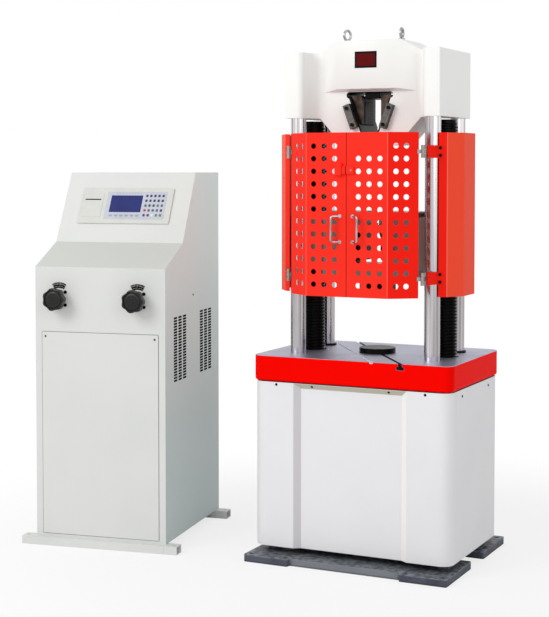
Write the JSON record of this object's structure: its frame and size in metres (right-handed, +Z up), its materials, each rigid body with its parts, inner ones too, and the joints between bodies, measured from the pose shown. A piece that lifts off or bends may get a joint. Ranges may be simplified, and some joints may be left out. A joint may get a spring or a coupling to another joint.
{
  "type": "universal testing machine",
  "caption": "Hydraulic universal testing machine: a column frame with screw-driven crosshead, wedge grips and hinged guard on a cabinet base, beside a free-standing control console.",
  "frame": {"origin": "on the floor under the load axis, at the middle of the load frame's base plate", "axes": "+X along the machine's width to the right as seen from the front, +Y to the back, +Z up"},
  "size_m": [1.7845, 0.8333, 1.967],
  "materials": {
    "white_paint": "gloss white paint",
    "red_paint": "gloss red paint; the table's top is bare ground steel",
    "base_paint": "matt dark grey paint",
    "machined_steel": "machined",
    "polished_steel": "hard chrome",
    "zinc_steel": "zinc plated",
    "blackened_steel": "blackened steel",
    "grey_steel": "grey phosphated steel",
    "bronze": "cast bronze",
    "plate_face": "dark red face with a black rim, blank",
    "bezel_plastic": "light grey moulding",
    "keypad_film": "printed film",
    "screen_face": "blue liquid crystal display",
    "black_plastic": "black moulding"
  },
  "bodies": {
    "frame_base": {"base_plate": "base_paint", "inner_frame": "base_paint", "cabinet_front": "white_paint", "cabinet_rear": "white_paint", "cabinet_sides": "white_paint", "cylinder_body": "machined_steel", "cylinder_gland": "machined_steel", "screw_gearmotors": "base_paint", "console_cabinet": "white_paint", "console_rails": "white_paint", "console_door": "white_paint", "display_bezel": "bezel_plastic", "membrane_keypad": "keypad_film", "display_screen": "screen_face", "valve_bodies": "machined_steel", "valve_screws": "blackened_steel", "dial_sectors": "blackened_steel", "oil_tank": "base_paint", "pump_unit": "base_paint", "controller_box": "bezel_plastic"},
    "working_frame": {"piston": "polished_steel", "work_table": "red_paint", "lower_platen": "blackened_steel", "columns": "polished_steel", "upper_crosshead": "white_paint", "eye_bolts": "polished_steel", "name_plate": "plate_face", "upper_grip_liners": "grey_steel", "upper_grip_strips": "grey_steel", "upper_grip_bolts": "blackened_steel", "upper_grip_bar": "blackened_steel"},
    "upper_jaw_left": {"upper_jaw_left": "blackened_steel"},
    "upper_jaw_right": {"upper_jaw_right": "blackened_steel"},
    "moving_crosshead": {"middle_crosshead": "white_paint", "screw_nuts": "bronze", "upper_platen": "blackened_steel", "lower_grip_liners": "grey_steel", "lower_grip_strips": "grey_steel", "lower_grip_bolts": "blackened_steel", "guard_panels": "red_paint", "guard_standoffs": "machined_steel", "guard_brackets": "red_paint", "bracket_bolts": "blackened_steel", "hinge_frame_leaves": "zinc_steel", "hinge_pins": "zinc_steel"},
    "lower_jaw_left": {"lower_jaw_left": "blackened_steel"},
    "lower_jaw_right": {"lower_jaw_right": "blackened_steel"},
    "left_door": {"left_door": "red_paint", "left_door_hinges": "zinc_steel", "left_handle": "polished_steel", "interlock_sensor": "red_paint"},
    "right_door": {"right_door": "red_paint", "right_door_hinges": "zinc_steel", "right_handle": "polished_steel", "interlock_actuator": "red_paint"},
    "left_screw": {"left_screw": "blackened_steel"},
    "right_screw": {"right_screw": "blackened_steel"},
    "left_knob": {"left_knob": "black_plastic"},
    "right_knob": {"right_knob": "black_plastic"}
  },
  "joints": [
    {"name": "working_frame_lift", "type": "slide", "parent": "frame_base", "child": "working_frame", "axis": [0, 0, 1], "range_m": [0, 0.15]},
    {"name": "left_screw_turn", "type": "hinge", "parent": "frame_base", "child": "left_screw", "pos_m": [-0.265, 0, 0.1], "axis": [0, 0, -1], "range_deg": [-4500, 1500]},
    {"name": "right_screw_turn", "type": "hinge", "parent": "frame_base", "child": "right_screw", "pos_m": [0.265, 0, 0.1], "axis": [0, 0, -1], "range_deg": [-4500, 1500]},
    {"name": "crosshead_travel", "type": "slide", "parent": "frame_base", "child": "moving_crosshead", "axis": [0, 0, 1], "range_m": [-0.15001, 0.05001]},
    {"name": "left_door_hinge", "type": "hinge", "parent": "moving_crosshead", "child": "left_door", "pos_m": [-0.262, -0.228, 1.28], "axis": [0, 0, -1], "range_deg": [0, 100]},
    {"name": "right_door_hinge", "type": "hinge", "parent": "moving_crosshead", "child": "right_door", "pos_m": [0.262, -0.228, 1.28], "axis": [0, 0, 1], "range_deg": [0, 100]},
    {"name": "upper_jaw_left_slide", "type": "slide", "parent": "working_frame", "child": "upper_jaw_left", "axis": [0.342, 0, -0.9397], "range_m": [0, 0.09]},
    {"name": "upper_jaw_right_slide", "type": "slide", "parent": "working_frame", "child": "upper_jaw_right", "axis": [-0.342, 0, -0.9397], "range_m": [0, 0.09]},
    {"name": "lower_jaw_left_slide", "type": "slide", "parent": "moving_crosshead", "child": "lower_jaw_left", "axis": [0.342, 0, 0.9397], "range_m": [0, 0.09]},
    {"name": "lower_jaw_right_slide", "type": "slide", "parent": "moving_crosshead", "child": "lower_jaw_right", "axis": [-0.342, 0, 0.9397], "range_m": [0, 0.09]},
    {"name": "left_knob_turn", "type": "hinge", "parent": "frame_base", "child": "left_knob", "pos_m": [-1.13772, -0.4294, 0.952], "axis": [0.165, -0.9863, 0], "range_deg": [0, 1080]},
    {"name": "right_knob_turn", "type": "hinge", "parent": "frame_base", "child": "right_knob", "pos_m": [-0.82014, -0.37625, 0.952], "axis": [0.165, -0.9863, 0], "range_deg": [0, 1080]}
  ],
  "couplings": [
    {"joint": "crosshead_travel", "follows": "left_screw_turn", "m_per_rad": 0.0019099},
    {"joint": "right_screw_turn", "follows": "left_screw_turn", "ratio": 1},
    {"joint": "upper_jaw_right_slide", "follows": "upper_jaw_left_slide", "ratio": 1},
    {"joint": "lower_jaw_right_slide", "follows": "lower_jaw_left_slide", "ratio": 1}
  ]
}
